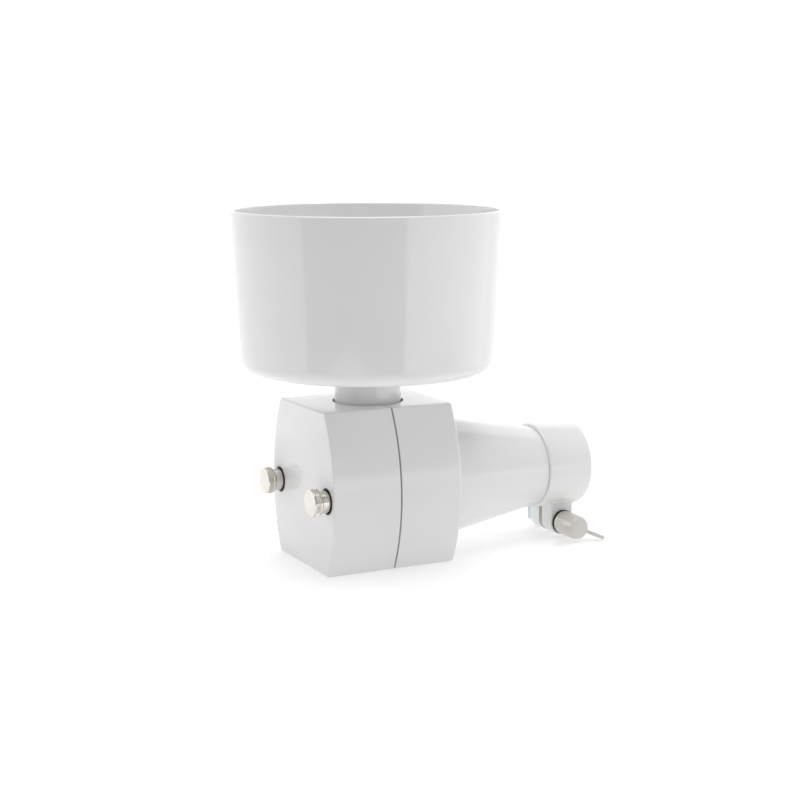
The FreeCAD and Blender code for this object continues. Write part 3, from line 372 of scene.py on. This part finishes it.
# ---------------------------------------------------------------- housing
def section(inset, corner_radius, x):
    """The housing's section at one place: flat base and top, sides bowed about the drive height."""
    radius = SIDE_RADIUS - inset
    centre = radius - (BODY_HALF_WIDTH - inset)
    low, high = inset - DRIVE_HEIGHT, BODY_HEIGHT - DRIVE_HEIGHT - inset
    reach_low = math.sqrt(radius ** 2 - low ** 2) - centre
    reach_high = math.sqrt(radius ** 2 - high ** 2) - centre
    side_steps, flat_steps, corner_steps = 44, 6, 5
    first = math.asin(low / radius)
    last = math.asin(high / radius)
    side = []
    for step in range(side_steps + 1):
        turn = first + (last - first) * step / side_steps
        side.append((radius * math.cos(turn) - centre, radius * math.sin(turn)))
    side[0], side[-1] = (reach_low, low), (reach_high, high)
    low_arc = corner_arc(side[0], side[1], corner_radius, corner_steps)
    high_arc = corner_arc(side[-1], side[-2], corner_radius, corner_steps)
    half = low_arc + side[2:-2] + high_arc[::-1]
    points = list(half)
    top_y, bottom_y = half[-1][0], half[0][0]
    points += [(top_y * (1 - 2 * step / flat_steps), high) for step in range(1, flat_steps)]
    points += [(-y, z) for y, z in reversed(half)]
    points += [(-bottom_y * (1 - 2 * step / flat_steps), low) for step in range(1, flat_steps)]
    return [(x, y, z + DRIVE_HEIGHT) for y, z in points]


def corner_arc(edge, beside, corner, steps):
    """The small arc between the flat, which runs towards the middle, and the bowed side."""
    inward = Vector((-1, 0))
    along = (Vector(beside) - Vector(edge)).normalized()
    half = inward.angle(along) / 2
    centre = Vector(edge) + (inward + along).normalized() * (corner / math.sin(half))
    first = Vector(edge) + inward * (corner / math.tan(half)) - centre
    last = Vector(edge) + along * (corner / math.tan(half)) - centre
    start = math.atan2(first.y, first.x)
    sweep = math.remainder(math.atan2(last.y, last.x) - start, 2 * math.pi)
    turns = [start + sweep * step / steps for step in range(steps + 1)]
    return [(centre.x + corner * math.cos(turn), centre.y + corner * math.sin(turn)) for turn in turns]


def housing_rings(start_x, end_x, closed_at_start, round_radius, end_wall):
    """Rings of a cup-shaped half: over the rounded closed end, along the outside, back inside."""
    lip, steps = 0.12, 6
    sign = 1 if closed_at_start else -1
    closed_x, open_x = (start_x, end_x) if closed_at_start else (end_x, start_x)
    corner = 0.9
    rings = []
    for step in range(steps + 1):
        turn = math.radians(90 * step / steps)
        inset = round_radius * (1 - math.sin(turn))
        x = closed_x + sign * round_radius * (1 - math.cos(turn))
        rings.append(section(inset, corner, x))
    rings.append(section(0, corner, open_x - sign * lip))
    rings.append(section(lip, corner, open_x))
    rings.append(section(WALL - lip, 0.4, open_x))
    rings.append(section(WALL, 0.4, open_x - sign * lip))
    rings.append(section(WALL, 0.4, closed_x + sign * end_wall))
    return rings


def neck_cutter(name):
    """The upright cylinder that opens both halves round the hopper neck."""
    return round_bar(name, NECK_HOLE_RADIUS, 20, (HOPPER_X, 0, BODY_HEIGHT - 10), "+Z")


def make_front_housing():
    """Front half: polished plate with two counterbored nut bosses, outlet slot in the floor."""
    rings = housing_rings(FRONT_FACE_X, HOPPER_X - PARTING_GAP / 2, True, 0.9, FRONT_WALL)
    piece = loft("front_housing_shell", rings)
    boss_x = FRONT_FACE_X + FRONT_WALL - 1
    for y in (-STUD_Y, STUD_Y):
        boss = round_bar("boss", STUD_BOSS_RADIUS, FRONT_WALL + 1, (boss_x, y, DRIVE_HEIGHT), "+X")
        combine(piece, [boss], "UNION")
    cutters = [neck_cutter("neck")]
    for y in (-STUD_Y, STUD_Y):
        recess_start = (FRONT_FACE_X - 1, y, DRIVE_HEIGHT)
        cutters.append(round_bar("recess", PLATE_HOLE_RADIUS, FRONT_WALL + 1, recess_start, "+X"))
        cutters.append(round_bar("bore", STUD_RADIUS + 0.3, 12, (FRONT_FACE_X, y, DRIVE_HEIGHT), "+X"))
    outlet_start = FRONT_FACE_X + OUTLET_OFFSET
    outlet_low = (outlet_start, -OUTLET_HALF_WIDTH, -1)
    cutters.append(block("outlet", outlet_low, (outlet_start + OUTLET_LENGTH, OUTLET_HALF_WIDTH, WALL + 1)))
    combine(piece, cutters, "DIFFERENCE")
    return hand_over(piece, housing_white, "front_cover", "front_housing")


def make_cone(piece):
    """Add the cone behind the rear wall, with the bearing web and the spigot's stepped bore."""
    inner_start, inner_end = CONE_START_RADIUS - WALL, CONE_END_RADIUS - 1
    web_end, spigot_end = WEB_START + WEB_THICKNESS, CONE_LENGTH + SPIGOT_LENGTH
    stop = spigot_end - HUB_LENGTH
    corners = [(-1, inner_start), (-1, CONE_START_RADIUS), (0, CONE_START_RADIUS)]
    corners += [(CONE_LENGTH, CONE_END_RADIUS), (CONE_LENGTH, SPIGOT_RADIUS), (spigot_end, SPIGOT_RADIUS)]
    corners += [(spigot_end, HUB_RADIUS), (stop, HUB_RADIUS), (stop, HUB_STOP_RADIUS)]
    corners += [(web_end, HUB_STOP_RADIUS), (web_end, WEB_BORE_RADIUS), (WEB_START, WEB_BORE_RADIUS)]
    corners += [(WEB_START, inner_end), (0, inner_start)]
    outline = rounded(corners, [0, 0, 0, 0.5, 0, 0.5, 0.5, 0, 0.3, 0, 0, 0, 0, 0])
    combine(piece, [lathe("cone", outline, (REAR_FACE_X, 0, DRIVE_HEIGHT), "+X", 200)], "UNION")


def make_rear_housing():
    """Rear half: rounded back, cone with the bearing web inside and the split spigot."""
    start_x = HOPPER_X + PARTING_GAP / 2
    piece = loft("rear_housing_shell", housing_rings(start_x, REAR_FACE_X, False, 2.2, WALL + 0.5))
    outside = WALL + TONGUE_CLEARANCE
    inside = outside + TONGUE_WALL
    # the tongue hangs from a step that reaches back into the wall
    tongue = [(WALL - 0.5, 0.5), (WALL - 0.5, 0.35), (outside, 0.35), (outside, 0.2 - TONGUE_LENGTH)]
    tongue += [(outside + 0.2, -TONGUE_LENGTH), (inside, -TONGUE_LENGTH), (inside, 0.5)]
    rings = [section(inset, 0.4, start_x + reach) for inset, reach in tongue]
    combine(piece, [loft("tongue", rings, tube=True)], "UNION")
    make_cone(piece)
    boss_length = 32.5
    boss_start = REAR_FACE_X - WALL - boss_length + 0.5
    boss = [(0, STUD_INSERT_RADIUS), (0, STUD_BOSS_RADIUS)]
    boss += [(boss_length, STUD_BOSS_RADIUS), (boss_length, STUD_INSERT_RADIUS)]
    for y in (-STUD_Y, STUD_Y):
        combine(piece, [lathe("boss", boss, (boss_start, y, DRIVE_HEIGHT), "+X", 96)], "UNION")
    half = CLAMP_SLIT / 2
    cutters = [neck_cutter("neck"), round_bar("opening", 20.0, 6, (REAR_FACE_X - 5, 0, DRIVE_HEIGHT), "+X")]
    slit_low = (CONE_END_X + 2, -half, 10)
    cutters.append(block("slit", slit_low, (CONE_END_X + SPIGOT_LENGTH + 2, half, DRIVE_HEIGHT)))
    combine(piece, cutters, "DIFFERENCE")
    return hand_over(piece, housing_white, "mill_body", "rear_housing")


# ---------------------------------------------------------------- hopper
def make_hopper():
    """Drum with a rounded foot and a fine rim, and the funnel with its neck inside it."""
    foot, rim, wall = DRUM_FOOT_RADIUS, DRUM_RIM_RADIUS, DRUM_WALL
    height, hole = DRUM_HIGH.z - DRUM_LOW.z, NECK_RADIUS + 0.2
    corners = [(0, hole), (0, foot), (height, rim), (height, rim - wall), (wall, foot - wall), (wall, hole)]
    outline = rounded(corners, [0.3, DRUM_ROUND, 0.9, 0.9, DRUM_ROUND - wall, 0], 10)
    drum = lathe("hopper_drum_shell", outline, (HOPPER_X, 0, DRUM_LOW.z), "+Z", 256)
    hand_over(drum, hopper_white, "hopper", "hopper_drum")
    neck_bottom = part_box("hopper_funnel")[0].z / MM
    floor = DRUM_LOW.z + wall - neck_bottom
    top = floor + FUNNEL_RISE + FUNNEL_WALL
    edge, lip = FUNNEL_RIM_RADIUS, FUNNEL_RIM_RADIUS - FUNNEL_WALL
    corners = [(0, NECK_BORE_RADIUS), (0, NECK_RADIUS), (floor, NECK_RADIUS), (floor, FUNNEL_FLANGE_RADIUS)]
    corners += [(floor + FUNNEL_RISE, edge), (top + FUNNEL_WALL, edge), (top + FUNNEL_WALL, lip), (top, lip)]
    corners.append((floor + FUNNEL_WALL, NECK_BORE_RADIUS))
    outline = rounded(corners, [0.6, 0.6, 0, 1, 2, 0.6, 0.6, 2, 4], 6)
    funnel = lathe("hopper_funnel_shell", outline, (HOPPER_X, 0, neck_bottom), "+Z", 224)
    hand_over(funnel, hopper_white, "hopper", "hopper_funnel")


# ---------------------------------------------------------------- clamp
def ear_slice(z, grow_x, grow_y):
    """One level of the ear block: a rectangle with rounded corners."""
    corner = 1.2
    half_x, half_y = max(grow_x, corner + 0.01), EAR_HALF_WIDTH + grow_y
    points = []
    for quarter, (sx, sy) in enumerate(((1, 1), (-1, 1), (-1, -1), (1, -1))):
        for step in range(6):
            turn = math.radians(90 * quarter + 18 * step)
            x = EAR_MIDDLE_X + sx * (half_x - corner) + corner * math.cos(turn)
            y = sy * (half_y - corner) + corner * math.sin(turn)
            points.append((x, y, z))
    return points


def ear_block():
    """Both ears as one block: round underneath, flaring into the ring above."""
    radius, flare, flare_start = EAR_ROUND, 4.0, 19.5
    slices = []
    for step in range(1, 15):
        turn = math.radians(90 * step / 14)
        slices.append(ear_slice(CLAMP_SCREW_Z - radius * math.cos(turn), radius * math.sin(turn), 0))
    for step in range(0, 9):
        turn = math.radians(60 * step / 8)
        grow = flare * (1 - math.cos(turn))
        slices.append(ear_slice(flare_start + flare * math.sin(turn), radius + grow, grow))
    slices.append(ear_slice(DRIVE_HEIGHT - 20, radius + grow, grow))
    return loft("ears", slices)


def make_clamp_collar():
    """Ring with a rounded mouth and the two ears that the bolt draws together."""
    bore, outside, lip_start = COLLAR_BORE_RADIUS, COLLAR_RADIUS, COLLAR_LENGTH - COLLAR_LIP
    ring = [(0, bore), (0, outside), (COLLAR_LENGTH, outside), (COLLAR_LENGTH, COLLAR_LIP_RADIUS)]
    ring += [(lip_start, COLLAR_LIP_RADIUS), (lip_start, bore)]
    outline = rounded(ring, [0.2, 1.2, 1.6, 0.5, 0, 0])
    piece = lathe("clamp_collar_ring", outline, (CONE_END_X, 0, DRIVE_HEIGHT), "+X", 200)
    combine(piece, [ear_block()], "UNION")
    half = CLAMP_SLIT / 2
    inside = round_bar("inside", bore, lip_start + 1, (CONE_END_X - 1, 0, DRIVE_HEIGHT), "+X", 200)
    slit = block("slit", (CONE_END_X - 1, -half, -1), (CONE_END_X + COLLAR_LENGTH + 1, half, DRIVE_HEIGHT))
    hole = round_bar("hole", CLAMP_HOLE_RADIUS, 40, (CLAMP_SCREW_X, 20, CLAMP_SCREW_Z), "-Y")
    combine(piece, [inside, slit, hole], "DIFFERENCE")
    return hand_over(piece, collar_white, "mill_body", "clamp_collar")


def hexagon_prism(name, flats, length, origin, along):
    """Hexagon head with the two ends turned down to a chamfer."""
    axis, across, up = ALONG[along]
    reach = flats / math.sqrt(3)
    rings = []
    for place, scale in ((0, 0.93), (0.5, 1.0), (length - 0.15, 1.0), (length, 0.98)):
        ring = []
        for corner in range(6):
            turn = math.radians(30 + 60 * corner)
            ring.append(Vector(origin) + axis * place
                        + (across * math.cos(turn) + up * math.sin(turn)) * reach * scale)
        rings.append(ring)
    return loft(name, rings, 12)


def make_clamp_bolt():
    """Zinc-plated hexagon bolt with turned thread rings on its free end."""
    origin = (CLAMP_SCREW_X, EAR_HALF_WIDTH + BOLT_HEAD_HEIGHT, CLAMP_SCREW_Z)
    head = hexagon_prism("clamp_bolt_m8", BOLT_HEAD_FLATS, BOLT_HEAD_HEIGHT, origin, "-Y")
    end = BOLT_HEAD_HEIGHT + BOLT_LENGTH
    pitch, turns, crest, root = 1.25, 16, BOLT_RADIUS, BOLT_RADIUS - 0.55
    thread_start = end - 0.3 - pitch * turns
    # the shank begins inside the head, so that the two join
    outline = [(5.0, 0), (5.0, crest), (thread_start, crest)]
    for turn in range(turns):
        place = thread_start + pitch * turn
        outline += [(place + pitch * 0.4, root), (place + pitch * 0.6, root), (place + pitch, crest)]
    outline.append((end, 0))
    shank = lathe("shank", outline, origin, "-Y", 64)
    combine(head, [shank], "UNION")
    return hand_over(head, zinc, "mill_body", "clamp_bolt")


def make_clamp_washer():
    """Black washer between the near ear and the wing nut; its black is also painted shade for the gap there.
    """
    bore, outside, thick = CLAMP_HOLE_RADIUS, WASHER_RADIUS, WASHER_THICKNESS
    outline = rounded([(0, bore), (0, outside), (thick, outside), (thick, bore)], [0.2, 0.5, 0.5, 0.2])
    piece = lathe("wing_nut_washer", outline, (CLAMP_SCREW_X, -EAR_HALF_WIDTH, CLAMP_SCREW_Z), "-Y", 96)
    # the washer's black is partly painted shade for the gap between the ear and the hub
    return hand_over(piece, black_rubber_and_gap_shade, "wing_washer", "clamp_washer")


def make_wing_nut():
    """Moulded wing nut: hub with a domed end, two blades that run out of it in soft fillets."""
    start_y = -(EAR_HALF_WIDTH + WASHER_THICKNESS)
    origin = Vector((CLAMP_SCREW_X, start_y, CLAMP_SCREW_Z))
    radius, length, insert_radius, insert_length = WING_HUB_RADIUS, WING_HUB_LENGTH, 5.5, 17.5
    corners = [(0, insert_radius), (0, radius), (length, radius), (length, 0)]
    corners += [(insert_length, 0), (insert_length, insert_radius)]
    piece = lathe("wing_nut_moulded", rounded(corners, [0, 0.5, 4.5, 0, 0, 0]), origin, "-Y", 96)
    tilt = math.radians(WING_TILT)
    outwards = Vector((math.cos(tilt), 0, -math.sin(tilt)))
    square = Vector((math.sin(tilt), 0, math.cos(tilt)))
    # each point of the blade: distance along the hub, then distance out from its axis
    blade = [(4, 5), (8.2, 7.6), (13.5, 13), (17.2, 19.2), (23.6, 19.8), (24, 14.5), (19.5, 7.5), (17.5, 5)]
    outline = rounded(blade, [0, 3, 8, 3.0, 3.0, 8, 3, 0], 5)
    half, edge = WING_THICKNESS / 2, 0.5
    blades = []
    for side in (1, -1):
        rings = []
        for level, shrink in ((-half, edge), (-half + edge, 0), (half - edge, 0), (half, edge)):
            centre = Vector((sum(p[0] for p in outline), sum(p[1] for p in outline))) / len(outline)
            ring = []
            for point in outline:
                away = Vector(point) - centre
                near = centre + away * (1 - shrink / max(away.length, 1))
                ring.append(origin + Vector((0, -1, 0)) * near.x + outwards * (side * near.y) + square * level)
            rings.append(ring)
        blades.append(loft("blade", rings, 60))
    bm = bmesh.new()
    for part in [piece] + blades:
        bm.from_mesh(part.data)
    bm.to_mesh(piece.data)
    bm.free()
    for part in blades:
        bpy.data.objects.remove(part)
    remesh = piece.modifiers.new("skin", "REMESH")
    remesh.mode = "VOXEL"
    remesh.voxel_size = 0.34 * MM
    plain(piece)
    smooth = piece.modifiers.new("fillets", "SMOOTH")
    smooth.factor = 0.5
    smooth.iterations = 6
    plain(piece)
    piece.data.shade_smooth()
    return hand_over(piece, grip_grey, "wing_nut", "wing_nut")


# ---------------------------------------------------------------- thumb nuts
def knurl_tree():
    """Geometry nodes: straight ridges round a cylinder, from its radius, length and count."""
    tree = bpy.data.node_groups.new("straight_knurl", "GeometryNodeTree")
    interface = tree.interface
    interface.new_socket("Geometry", in_out="OUTPUT", socket_type="NodeSocketGeometry")
    for name, kind, value in (("Radius", "NodeSocketFloat", 8.3), ("Length", "NodeSocketFloat", 3.4),
                              ("Ridge", "NodeSocketFloat", 0.3), ("Count", "NodeSocketInt", 60)):
        socket = interface.new_socket(name, in_out="INPUT", socket_type=kind)
        socket.default_value = value
    interface.new_socket("Finish", in_out="INPUT", socket_type="NodeSocketMaterial")
    source = tree.nodes.new("NodeGroupInput").outputs
    circle = add(tree, "GeometryNodeMeshCircle", None,
                 {"Vertices": source["Count"], "Radius": source["Radius"]})
    size = add(tree, "ShaderNodeCombineXYZ", None,
               {"X": source["Ridge"], "Y": source["Ridge"], "Z": source["Length"]})
    ridge = add(tree, "GeometryNodeMeshCube", None, {"Size": size.outputs["Vector"]})
    outwards = add(tree, "GeometryNodeInputPosition")
    facing = add(tree, "FunctionNodeAlignRotationToVector", {"axis": "X"},
                 {"Vector": outwards.outputs["Position"]})
    on_corner = (0, 0, math.pi / 4)
    turned = add(tree, "FunctionNodeRotateRotation", {"rotation_space": "LOCAL", "Rotate By": on_corner},
                 {"Rotation": facing.outputs["Rotation"]})
    spread = add(tree, "GeometryNodeInstanceOnPoints", None,
                 {"Points": circle.outputs["Mesh"], "Instance": ridge.outputs["Mesh"],
                  "Rotation": turned.outputs["Rotation"]})
    real = add(tree, "GeometryNodeRealizeInstances", None, {"Geometry": spread.outputs["Instances"]})
    coated = add(tree, "GeometryNodeSetMaterial", None,
                 {"Geometry": real.outputs["Geometry"], "Material": source["Finish"]})
    result = tree.nodes.new("NodeGroupOutput")
    tree.links.new(coated.outputs["Geometry"], result.inputs["Geometry"])
    return tree


KNURL = knurl_tree()


def knurl_ring(name, radius, length, ridge, count, finish):
    """The ridges as a plain mesh about the origin's Z axis, in metres."""
    holder = link(name, bpy.data.meshes.new(name))
    modifier = holder.modifiers.new("knurl", "NODES")
    modifier.node_group = KNURL
    values = {"Radius": radius * MM, "Length": length * MM, "Ridge": ridge * MM}
    values.update({"Count": count, "Finish": finish})
    for item in KNURL.interface.items_tree:
        if item.in_out == "INPUT":
            modifier[item.identifier] = values[item.name]
    return plain(holder)


def make_thumb_nut(side, y):
    """Turned nut: collar, undercut, and a head with a fine straight knurl between two plain bands."""
    seat_x = FRONT_FACE_X + 2.0
    bore, collar, groove, head = STUD_RADIUS + 0.05, NUT_COLLAR_RADIUS, NUT_GROOVE_RADIUS, NUT_HEAD_RADIUS
    corners = [(0, bore), (0, collar), (7.2, collar), (7.2, groove), (8, groove), (8, head), (9, head)]
    corners += [(9.25, KNURL_RADIUS), (11.55, KNURL_RADIUS), (11.8, head), (13, head), (13, 0)]
    corners += [(11, 0), (11, bore)]
    radii = [0.3, 0.5, 0.3, 0, 0, 0.35, 0, 0, 0, 0, 0.7, 0, 0, 0]
    nut = lathe(f"{side}_thumb_nut_turned", rounded(corners, radii), (seat_x, y, DRIVE_HEIGHT), "-X", 128)
    ridges = knurl_ring(f"{side}_knurl", KNURL_RADIUS, 2.3, 0.32, 72, nickel)
    turn = Matrix.Rotation(math.radians(90), 4, "Y")
    centre = Vector((seat_x - 10.4, y, DRIVE_HEIGHT)) * MM
    ridges.data.transform(Matrix.Translation(centre) @ turn)
    bm = bmesh.new()
    bm.from_mesh(nut.data)
    bm.from_mesh(ridges.data)
    bm.to_mesh(nut.data)
    bm.free()
    nut.data.set_sharp_from_angle(angle=math.radians(32.0))
    bpy.data.objects.remove(ridges)
    return hand_over(nut, nickel, f"{side}_nut", f"{side}_thumb_nut")


def make_plate_seal(side, y):
    """Black ring that fills the recess round the nut's collar."""
    bore, outside, thick = SEAL_INNER_RADIUS, PLATE_HOLE_RADIUS - 0.05, SEAL_THICKNESS
    corners = [(0, bore), (0, outside), (thick, outside), (thick, bore)]
    piece = lathe(f"{side}_plate_seal_ring", rounded(corners, [0.4, 0.4, 0, 0]),
                  (FRONT_FACE_X - 0.3, y, DRIVE_HEIGHT), "+X", 96)
    return hand_over(piece, black_rubber_and_gap_shade, "front_cover", f"{side}_plate_seal")


# ---------------------------------------------------------------- studio
CAMERA_PLACE = Vector((-478.6, -921.06, 273.07)) * MM
CAMERA_YAW = 26.846
CAMERA_PITCH = 9.62
CAMERA_ROLL = -0.115
CAMERA_LENS = 74.66
TABLE_REACH = 430.0


def make_table():
    """Plain pale table top, small enough for the softboxes to show beyond it in the gloss."""
    material, tree, output = new_material("pale_table")
    shader = add(tree, "ShaderNodeBsdfPrincipled", {"Base Color": linear("DADADA"), "Roughness": 0.6,
                                                    "Specular IOR Level": 0.2, "Emission Color": (1, 1, 1, 1),
                                                    "Emission Strength": 0.42})
    tree.links.new(shader.outputs["BSDF"], output.inputs["Surface"])
    reach = TABLE_REACH
    table = loft("table", [[(-reach, -reach, z), (reach, -reach, z), (reach, reach, z), (-reach, reach, z)]
                           for z in (-20.0, -0.2)])
    table.data.materials.append(material)


def make_camera():
    """The viewpoint: a little above the mill, from its front left."""
    data = bpy.data.cameras.new("view")
    data.sensor_width = 36.0
    data.lens = CAMERA_LENS
    data.dof.use_dof = False
    camera = bpy.data.objects.new("view", data)
    yaw = Matrix.Rotation(math.radians(-CAMERA_YAW), 4, "Z")
    pitch = Matrix.Rotation(math.radians(90 - CAMERA_PITCH), 4, "X")
    roll = Matrix.Rotation(math.radians(CAMERA_ROLL), 4, "Z")
    camera.matrix_world = Matrix.Translation(CAMERA_PLACE) @ yaw @ pitch @ roll
    bpy.context.scene.collection.objects.link(camera)
    bpy.context.scene.camera = camera


def softbox(name, first, last, low, high, distance, radiance):
    """An upright softbox that fills the bearings from first to last, in degrees right of the camera's side."""
    half = math.radians((last - first) / 2)
    bearing = math.radians((first + last) / 2 - CAMERA_YAW)
    light = bpy.data.lights.new(name, "AREA")
    light.shape = "RECTANGLE"
    light.size, light.size_y = 2 * distance * math.tan(half), high - low
    light.energy = radiance * math.pi * light.size * light.size_y
    lamp = bpy.data.objects.new(name, light)
    away = Vector((math.sin(bearing), -math.cos(bearing), 0))
    lamp.location = Vector((HOPPER_X * MM, 0, (low + high) / 2)) + away * distance
    lamp.rotation_euler = away.to_track_quat("Z", "Y").to_euler()
    lamp.visible_camera = False
    bpy.context.scene.collection.objects.link(lamp)


def overhead(name, height, side, radiance):
    """A flat softbox above the table."""
    light = bpy.data.lights.new(name, "AREA")
    light.size = side
    light.energy = radiance * math.pi * side * side
    lamp = bpy.data.objects.new(name, light)
    lamp.location = (HOPPER_X * MM, 0, height)
    lamp.visible_camera = False
    bpy.context.scene.collection.objects.link(lamp)


def make_studio():
    """White surroundings with softboxes on both sides of the table and behind it."""
    world = bpy.data.worlds.new("white_cove")
    bpy.context.scene.world = world
    world.use_nodes = True
    tree = world.node_tree
    tree.nodes.clear()
    fill = add(tree, "ShaderNodeBackground", {"Color": (1, 1, 1, 1), "Strength": 0.36})
    backdrop = add(tree, "ShaderNodeBackground", {"Color": (1, 1, 1, 1), "Strength": 1.05})
    seen = add(tree, "ShaderNodeLightPath")
    mix = add(tree, "ShaderNodeMixShader", None, {0: seen.outputs["Is Camera Ray"], 1: fill.outputs[0],
                                                  2: backdrop.outputs[0]})
    output = tree.nodes.new("ShaderNodeOutputWorld")
    tree.links.new(mix.outputs[0], output.inputs["Surface"])
    softbox("left_softbox", -150, -53, -0.8, 0.7, 1.5, 1.0)
    softbox("right_low_softbox", 34, 125, -0.8, 0.12, 1.5, 1.35)
    softbox("right_softbox", 34, 125, 0.12, 1.8, 1.5, 0.3)
    softbox("rear_softbox", 125, 210, -0.8, 1.6, 1.5, 0.98)
    overhead("overhead_softbox", 1.5, 1.2, 3.4)
    bpy.context.scene.view_settings.view_transform = "Standard"


finish_cad_nodes()
make_front_housing()
make_rear_housing()
make_hopper()
make_clamp_collar()
make_clamp_bolt()
make_clamp_washer()
make_wing_nut()
for nut_side, nut_y in (("left", STUD_Y), ("right", -STUD_Y)):
    make_thumb_nut(nut_side, nut_y)
    make_plate_seal(nut_side, nut_y)
make_table()
make_camera()
make_studio()
